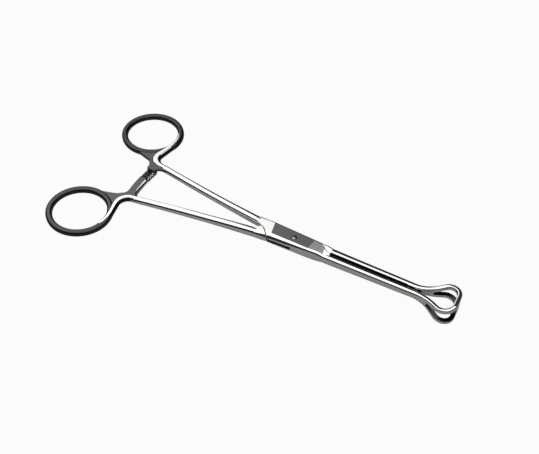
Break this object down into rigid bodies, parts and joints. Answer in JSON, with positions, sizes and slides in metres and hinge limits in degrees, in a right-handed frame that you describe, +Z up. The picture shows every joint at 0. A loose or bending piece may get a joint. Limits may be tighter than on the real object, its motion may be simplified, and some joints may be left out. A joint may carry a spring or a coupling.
{
  "type": "babcock forceps",
  "caption": "Long ring-handled tissue forceps with a box lock hinge, a ratchet behind the lock and bowed fan-shaped jaws with windows.",
  "frame": {"origin": "on the pin's axis, in the flat underside of the box lock", "axes": "+X from the finger rings to the jaw tips, +Y towards the ring of the slotted half, +Z up along the pin, out of the upper face of the box lock"},
  "size_m": [0.2018, 0.097, 0.0106],
  "materials": {
    "female_half_steel": "mirror-polished stainless steel, satin on the flats of the lock and the gusset",
    "male_half_steel": "mirror-polished stainless steel, satin on the flats of the lock and the gusset",
    "pin_steel": "stainless steel, riveted and ground flush with the satin lock"
  },
  "bodies": {
    "slotted_half": {"female_half": "female_half_steel", "box_lock_pin": "pin_steel"},
    "tongued_half": {"male_half": "male_half_steel"}
  },
  "joints": [
    {"name": "box_lock_hinge", "type": "hinge", "parent": "slotted_half", "child": "tongued_half", "pos_m": [0, 0, 0], "axis": [0, 0, 1], "range_deg": [0, 50]}
  ]
}
